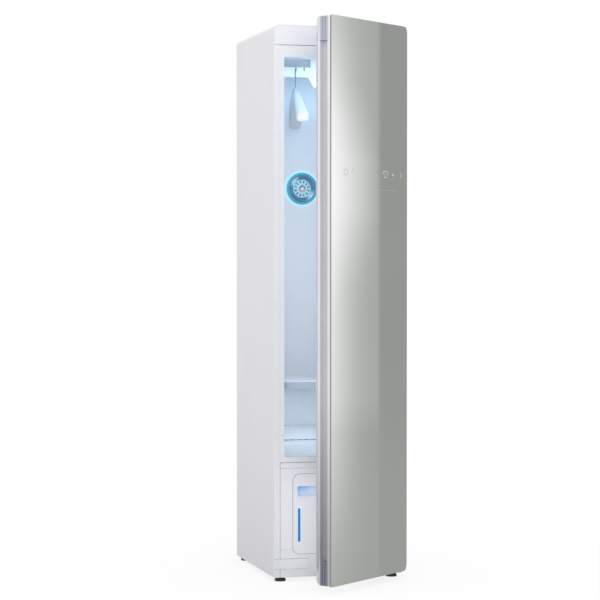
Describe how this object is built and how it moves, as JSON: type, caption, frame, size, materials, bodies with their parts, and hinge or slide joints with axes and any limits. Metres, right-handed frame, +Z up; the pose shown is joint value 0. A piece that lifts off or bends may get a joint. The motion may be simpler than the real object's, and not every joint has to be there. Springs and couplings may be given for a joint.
{
  "type": "clothes care steam cabinet",
  "caption": "Tall slim cabinet that steams and shakes hung clothes, with a hinged mirror-glass door, hanger rail, fan, shelf, water tanks and heat pump base.",
  "frame": {"origin": "on the floor at the centre of the four feet", "axes": "+Z up, +Y from the front to the back, +X to the right seen from the front"},
  "size_m": [0.4506, 0.8686, 1.85],
  "materials": {
    "case_paint": "satin off-white powder coat",
    "rear_sheet": "matt grey coated sheet",
    "zinc_sheet": "galvanised sheet",
    "foot_plastic": "matt black",
    "front_plastic": "satin white",
    "liner_plastic": "fine-grained bluish white",
    "felt": "grey needle felt",
    "lamp_diffuser": "frosted diffuser",
    "filter_plastic": "fine-grained slate blue",
    "bezel_chrome": "polished, smoky",
    "light_ring": "translucent cyan light guide",
    "grille_plastic": "pale teal",
    "duct_plastic": "grey moulding",
    "motor_can": "zinc plated can",
    "rotor_plastic": "white moulding",
    "bright_rod": "ground and plated",
    "carriage_plastic": "natural acetal",
    "rail_plastic": "satin white",
    "hook_steel": "plated wire",
    "hanger_plastic": "satin white",
    "shelf_plastic": "satin bluish white",
    "tank_clear": "translucent blue",
    "plate_paint": "white powder coat",
    "mirror_glass": "tinted mirror glass",
    "frame_plastic": "satin lavender grey",
    "board_tray": "matt black",
    "channel_plastic": "satin grey",
    "cap_plastic": "satin blue grey",
    "seal_rubber": "soft cream",
    "black_paint": "black enamel",
    "fin_aluminium": "bare fin stock",
    "boiler_cast": "as cast",
    "gland_rubber": "black",
    "screw_zinc": "zinc plated"
  },
  "bodies": {
    "cabinet": {"outer_case": "case_paint", "rear_panel": "rear_sheet", "base_pan": "zinc_sheet", "levelling_feet": "foot_plastic", "top_fascia": "front_plastic", "inner_liner": "liner_plastic", "side_insulation": "felt", "ceiling_housing": "liner_plastic", "ceiling_lamp": "lamp_diffuser", "cavity_floor": "liner_plastic", "fan_bezel": "bezel_chrome", "fan_light_ring": "light_ring", "fan_grille": "grille_plastic", "fan_shroud": "duct_plastic", "fan_motor": "motor_can", "guide_rods": "bright_rod", "rod_brackets": "duct_plastic", "shaker_motor": "motor_can", "motor_bridge": "zinc_sheet", "trim_strip": "front_plastic", "lower_panel": "front_plastic", "base_skirt": "front_plastic", "tank_bay": "duct_plastic", "corner_plate": "plate_paint", "lower_hinge": "plate_paint", "upper_hinge": "plate_paint", "chassis_deck": "zinc_sheet", "compressor": "black_paint", "heat_exchangers": "fin_aluminium", "blower_housing": "duct_plastic", "blower_motor": "motor_can", "steam_generator": "boiler_cast", "control_box": "board_tray", "water_pump": "board_tray", "cord_gland": "gland_rubber", "panel_screws": "screw_zinc"},
    "door": {"door_glass": "mirror_glass", "door_frame": "frame_plastic", "door_foam": "felt", "control_display": "board_tray", "grip_channel": "channel_plastic", "door_top_cap": "cap_plastic", "door_bottom_cap": "cap_plastic", "door_liner": "liner_plastic", "door_gasket": "seal_rubber", "hinge_bushes": "carriage_plastic"},
    "rail": {"hanger_carriage": "carriage_plastic", "hanger_rail": "rail_plastic"},
    "crank": {"crank": "carriage_plastic"},
    "hanger": {"hanger_hook": "hook_steel", "hanger_body": "hanger_plastic"},
    "fan": {"fan_rotor": "rotor_plastic"},
    "blower": {"blower_wheel": "rotor_plastic"},
    "shelf": {"shelf": "shelf_plastic"},
    "filter": {"lint_filter": "filter_plastic"},
    "supply_tank": {"supply_tank": "tank_clear", "supply_tank_front": "front_plastic"},
    "drain_tank": {"drain_tank": "tank_clear", "drain_tank_front": "front_plastic"}
  },
  "joints": [
    {"name": "door_swing", "type": "hinge", "parent": "cabinet", "child": "door", "pos_m": [0.1925, -0.3165, 0.93], "axis": [0, 0, 1], "range_deg": [-39, 66]},
    {"name": "rail_slide", "type": "slide", "parent": "cabinet", "child": "rail", "axis": [1, 0, 0], "range_m": [-0.02, 0.02]},
    {"name": "crank_turn", "type": "hinge", "parent": "cabinet", "child": "crank", "pos_m": [0, -0.028, 1.808], "axis": [0, 0, 1], "continuous": true},
    {"name": "hanger_swing", "type": "hinge", "parent": "rail", "child": "hanger", "pos_m": [-0.085, -0.028, 1.722], "axis": [0, 1, 0], "range_deg": [-4, 4]},
    {"name": "fan_spin", "type": "hinge", "parent": "cabinet", "child": "fan", "pos_m": [0, 0.224, 1.325], "axis": [0, 1, 0], "continuous": true},
    {"name": "blower_spin", "type": "hinge", "parent": "cabinet", "child": "blower", "pos_m": [-0.02, 0.132, 0.308], "axis": [1, 0, 0], "continuous": true},
    {"name": "shelf_lift", "type": "slide", "parent": "cabinet", "child": "shelf", "axis": [0, 0, 1], "range_m": [0, 0.04]},
    {"name": "filter_lift", "type": "slide", "parent": "cabinet", "child": "filter", "axis": [0, -0.0506, 0.9987], "range_m": [0, 0.055]},
    {"name": "supply_pull", "type": "slide", "parent": "cabinet", "child": "supply_tank", "axis": [0, -1, 0], "range_m": [0, 0.13]},
    {"name": "drain_pull", "type": "slide", "parent": "cabinet", "child": "drain_tank", "axis": [0, -1, 0], "range_m": [0, 0.012]}
  ]
}
